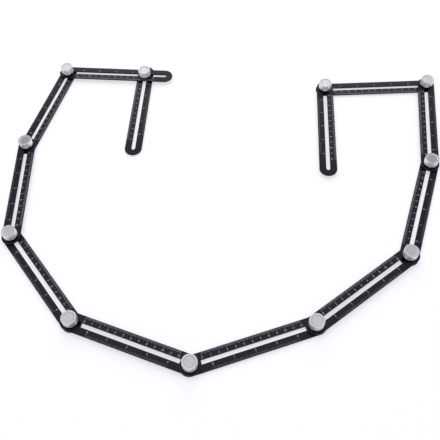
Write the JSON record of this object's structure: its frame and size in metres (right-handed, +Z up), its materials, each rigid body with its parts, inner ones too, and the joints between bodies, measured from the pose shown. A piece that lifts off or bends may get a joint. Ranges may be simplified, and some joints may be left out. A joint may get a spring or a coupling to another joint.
{
  "type": "multi-angle folding ruler",
  "caption": "Chain of slotted black ruler arms with centimetre and inch scales, joined by sliding knurled clamp knobs, that folds to copy angles and outlines.",
  "frame": {"origin": "centre of the box of the laid-out chain, on the surface that the screw heads rest on", "axes": "+Z up out of the knobs; +X along the longer side of the laid-out chain; the open side of the chain faces +Y"},
  "size_m": [0.6132, 0.503, 0.0183],
  "materials": {
    "black_anodised": "satin black anodised sheet",
    "turned_silver": "turned and knurled, clear anodised",
    "plated_steel": "zinc plated",
    "black_nylon": "smooth nylon"
  },
  "bodies": {
    "arm_01": {"arm_01": "black_anodised"},
    "arm_02": {"arm_02": "black_anodised"},
    "arm_03": {"arm_03": "black_anodised"},
    "arm_04": {"arm_04": "black_anodised"},
    "arm_05": {"arm_05": "black_anodised"},
    "arm_06": {"arm_06": "black_anodised"},
    "arm_07": {"arm_07": "black_anodised"},
    "arm_08": {"arm_08": "black_anodised"},
    "arm_09": {"arm_09": "black_anodised"},
    "arm_10": {"arm_10": "black_anodised"},
    "arm_11": {"arm_11": "black_anodised"},
    "arm_12": {"arm_12": "black_anodised"},
    "screw_01": {"screw_01": "plated_steel"},
    "pivot_01": {"friction_washer_01": "black_nylon", "collar_01": "black_nylon"},
    "knob_01": {"knob_01": "turned_silver"},
    "screw_02": {"screw_02": "plated_steel"},
    "pivot_02": {"friction_washer_02": "black_nylon", "collar_02": "black_nylon"},
    "knob_02": {"knob_02": "turned_silver"},
    "screw_03": {"screw_03": "plated_steel"},
    "pivot_03": {"friction_washer_03": "black_nylon", "collar_03": "black_nylon"},
    "knob_03": {"knob_03": "turned_silver"},
    "screw_04": {"screw_04": "plated_steel"},
    "pivot_04": {"friction_washer_04": "black_nylon", "collar_04": "black_nylon"},
    "knob_04": {"knob_04": "turned_silver"},
    "screw_05": {"screw_05": "plated_steel"},
    "pivot_05": {"friction_washer_05": "black_nylon", "collar_05": "black_nylon"},
    "knob_05": {"knob_05": "turned_silver"},
    "screw_06": {"screw_06": "plated_steel"},
    "pivot_06": {"friction_washer_06": "black_nylon", "collar_06": "black_nylon"},
    "knob_06": {"knob_06": "turned_silver"},
    "screw_07": {"screw_07": "plated_steel"},
    "pivot_07": {"friction_washer_07": "black_nylon", "collar_07": "black_nylon"},
    "knob_07": {"knob_07": "turned_silver"},
    "screw_08": {"screw_08": "plated_steel"},
    "pivot_08": {"friction_washer_08": "black_nylon", "collar_08": "black_nylon"},
    "knob_08": {"knob_08": "turned_silver"},
    "screw_09": {"screw_09": "plated_steel"},
    "pivot_09": {"friction_washer_09": "black_nylon", "collar_09": "black_nylon"},
    "knob_09": {"knob_09": "turned_silver"},
    "screw_10": {"screw_10": "plated_steel"},
    "pivot_10": {"friction_washer_10": "black_nylon", "collar_10": "black_nylon"},
    "knob_10": {"knob_10": "turned_silver"},
    "screw_11": {"screw_11": "plated_steel"},
    "pivot_11": {"friction_washer_11": "black_nylon", "collar_11": "black_nylon"},
    "knob_11": {"knob_11": "turned_silver"}
  },
  "joints": [
    {"name": "turn_01", "type": "hinge", "parent": "pivot_01", "child": "screw_01", "pos_m": [-0.12868, 0.22267, 0.00482], "axis": [0, 0, -1], "range_deg": [-248, 52]},
    {"name": "turn_02", "type": "hinge", "parent": "screw_02", "child": "pivot_02", "pos_m": [-0.24914, 0.23853, 0.00482], "axis": [0, 0, 1], "range_deg": [-50, 235]},
    {"name": "turn_03", "type": "hinge", "parent": "pivot_03", "child": "screw_03", "pos_m": [-0.29404, 0.09436, 0.00482], "axis": [0, 0, -1], "range_deg": [-162, 72]},
    {"name": "turn_04", "type": "hinge", "parent": "screw_04", "child": "pivot_04", "pos_m": [-0.29404, -0.05664, 0.00482], "axis": [0, 0, 1], "range_deg": [-83, 190]},
    {"name": "turn_05", "type": "hinge", "parent": "pivot_05", "child": "screw_05", "pos_m": [-0.20571, -0.17911, 0.00482], "axis": [0, 0, -1], "range_deg": [-190, 33]},
    {"name": "turn_06", "type": "hinge", "parent": "pivot_06", "child": "screw_06", "pos_m": [-0.06713, -0.23908, 0.00482], "axis": [0, 0, -1], "range_deg": [-26, 158]},
    {"name": "turn_07", "type": "hinge", "parent": "screw_07", "child": "pivot_07", "pos_m": [0.07859, -0.19949, 0.00482], "axis": [0, 0, 1], "range_deg": [-158, 38]},
    {"name": "turn_08", "type": "hinge", "parent": "pivot_08", "child": "screw_08", "pos_m": [0.20479, -0.11659, 0.00482], "axis": [0, 0, -1], "range_deg": [-84, 173]},
    {"name": "turn_09", "type": "hinge", "parent": "screw_09", "child": "pivot_09", "pos_m": [0.26404, 0.0223, 0.00482], "axis": [0, 0, 1], "range_deg": [-171, 57]},
    {"name": "turn_10", "type": "hinge", "parent": "pivot_10", "child": "screw_10", "pos_m": [0.29363, 0.17038, 0.00482], "axis": [0, 0, -1], "range_deg": [-49, 259]},
    {"name": "turn_11", "type": "hinge", "parent": "screw_11", "child": "pivot_11", "pos_m": [0.14268, 0.17433, 0.00482], "axis": [0, 0, 1], "range_deg": [-240, 48]},
    {"name": "knob_01_along_arm_01", "type": "slide", "parent": "screw_01", "child": "arm_01", "axis": [-0.0958, -0.9954, 0], "range_m": [-0.1422, 0.0092]},
    {"name": "knob_01_along_arm_02", "type": "slide", "parent": "arm_02", "child": "pivot_01", "axis": [-0.9914, 0.1305, 0], "range_m": [-0.0305, 0.0305]},
    {"name": "knob_02_along_arm_02", "type": "slide", "parent": "pivot_02", "child": "arm_02", "axis": [0.9914, -0.1305, 0], "range_m": [-0.06, 0.001]},
    {"name": "knob_02_along_arm_03", "type": "slide", "parent": "arm_03", "child": "screw_02", "axis": [-0.2974, -0.9548, 0], "range_m": [-0.0002, 0.06]},
    {"name": "knob_03_along_arm_03", "type": "slide", "parent": "screw_03", "child": "arm_03", "axis": [0.2974, 0.9548, 0], "range_m": [-0.06, 0.0002]},
    {"name": "knob_03_along_arm_04", "type": "slide", "parent": "arm_04", "child": "pivot_03", "axis": [0, 1, 0], "range_m": [-0.06, 0.001]},
    {"name": "knob_04_along_arm_04", "type": "slide", "parent": "pivot_04", "child": "arm_04", "axis": [0, -1, 0], "range_m": [-0.001, 0.06]},
    {"name": "knob_04_along_arm_05", "type": "slide", "parent": "arm_05", "child": "screw_04", "axis": [0.585, -0.8111, 0], "range_m": [-0.0002, 0.06]},
    {"name": "knob_05_along_arm_05", "type": "slide", "parent": "screw_05", "child": "arm_05", "axis": [-0.585, 0.8111, 0], "range_m": [-0.06, 0.0002]},
    {"name": "knob_05_along_arm_06", "type": "slide", "parent": "arm_06", "child": "pivot_05", "axis": [-0.9178, 0.3971, 0], "range_m": [-0.06, 0.001]},
    {"name": "knob_06_along_arm_06", "type": "slide", "parent": "arm_06", "child": "pivot_06", "axis": [-0.9178, 0.3971, 0], "range_m": [-0.001, 0.06]},
    {"name": "knob_06_along_arm_07", "type": "slide", "parent": "screw_06", "child": "arm_07", "axis": [-0.965, -0.2622, 0], "range_m": [-0.0002, 0.06]},
    {"name": "knob_07_along_arm_07", "type": "slide", "parent": "arm_07", "child": "screw_07", "axis": [0.965, 0.2622, 0], "range_m": [-0.06, 0.0002]},
    {"name": "knob_07_along_arm_08", "type": "slide", "parent": "pivot_07", "child": "arm_08", "axis": [0.8358, 0.549, 0], "range_m": [-0.06, 0.001]},
    {"name": "knob_08_along_arm_08", "type": "slide", "parent": "arm_08", "child": "pivot_08", "axis": [-0.8358, -0.549, 0], "range_m": [-0.001, 0.06]},
    {"name": "knob_08_along_arm_09", "type": "slide", "parent": "screw_08", "child": "arm_09", "axis": [-0.3923, -0.9198, 0], "range_m": [-0.0002, 0.06]},
    {"name": "knob_09_along_arm_09", "type": "slide", "parent": "arm_09", "child": "screw_09", "axis": [0.3923, 0.9198, 0], "range_m": [-0.06, 0.0002]},
    {"name": "knob_09_along_arm_10", "type": "slide", "parent": "pivot_09", "child": "arm_10", "axis": [0.1959, 0.9806, 0], "range_m": [-0.06, 0.001]},
    {"name": "knob_10_along_arm_10", "type": "slide", "parent": "arm_10", "child": "pivot_10", "axis": [-0.1959, -0.9806, 0], "range_m": [-0.001, 0.06]},
    {"name": "knob_10_along_arm_11", "type": "slide", "parent": "screw_10", "child": "arm_11", "axis": [-0.9997, 0.0262, 0], "range_m": [-0.06, 0.0002]},
    {"name": "knob_11_along_arm_11", "type": "slide", "parent": "arm_11", "child": "screw_11", "axis": [0.9997, -0.0262, 0], "range_m": [-0.0002, 0.06]},
    {"name": "knob_11_along_arm_12", "type": "slide", "parent": "pivot_11", "child": "arm_12", "axis": [-0.1115, -0.9938, 0], "range_m": [-0.152, 0.001]},
    {"name": "knob_turn_01", "type": "hinge", "parent": "screw_01", "child": "knob_01", "pos_m": [-0.12868, 0.22267, 0.00854], "axis": [0, 0, 1], "range_deg": [0, 720]},
    {"name": "knob_turn_02", "type": "hinge", "parent": "screw_02", "child": "knob_02", "pos_m": [-0.24914, 0.23853, 0.00854], "axis": [0, 0, 1], "range_deg": [0, 720]},
    {"name": "knob_turn_03", "type": "hinge", "parent": "screw_03", "child": "knob_03", "pos_m": [-0.29404, 0.09436, 0.00854], "axis": [0, 0, 1], "range_deg": [0, 720]},
    {"name": "knob_turn_04", "type": "hinge", "parent": "screw_04", "child": "knob_04", "pos_m": [-0.29404, -0.05664, 0.00854], "axis": [0, 0, 1], "range_deg": [0, 720]},
    {"name": "knob_turn_05", "type": "hinge", "parent": "screw_05", "child": "knob_05", "pos_m": [-0.20571, -0.17911, 0.00854], "axis": [0, 0, 1], "range_deg": [0, 720]},
    {"name": "knob_turn_06", "type": "hinge", "parent": "screw_06", "child": "knob_06", "pos_m": [-0.06713, -0.23908, 0.00854], "axis": [0, 0, 1], "range_deg": [0, 720]},
    {"name": "knob_turn_07", "type": "hinge", "parent": "screw_07", "child": "knob_07", "pos_m": [0.07859, -0.19949, 0.00854], "axis": [0, 0, 1], "range_deg": [0, 720]},
    {"name": "knob_turn_08", "type": "hinge", "parent": "screw_08", "child": "knob_08", "pos_m": [0.20479, -0.11659, 0.00854], "axis": [0, 0, 1], "range_deg": [0, 720]},
    {"name": "knob_turn_09", "type": "hinge", "parent": "screw_09", "child": "knob_09", "pos_m": [0.26404, 0.0223, 0.00854], "axis": [0, 0, 1], "range_deg": [0, 720]},
    {"name": "knob_turn_10", "type": "hinge", "parent": "screw_10", "child": "knob_10", "pos_m": [0.29363, 0.17038, 0.00854], "axis": [0, 0, 1], "range_deg": [0, 720]},
    {"name": "knob_turn_11", "type": "hinge", "parent": "screw_11", "child": "knob_11", "pos_m": [0.14268, 0.17433, 0.00854], "axis": [0, 0, 1], "range_deg": [0, 720]}
  ]
}
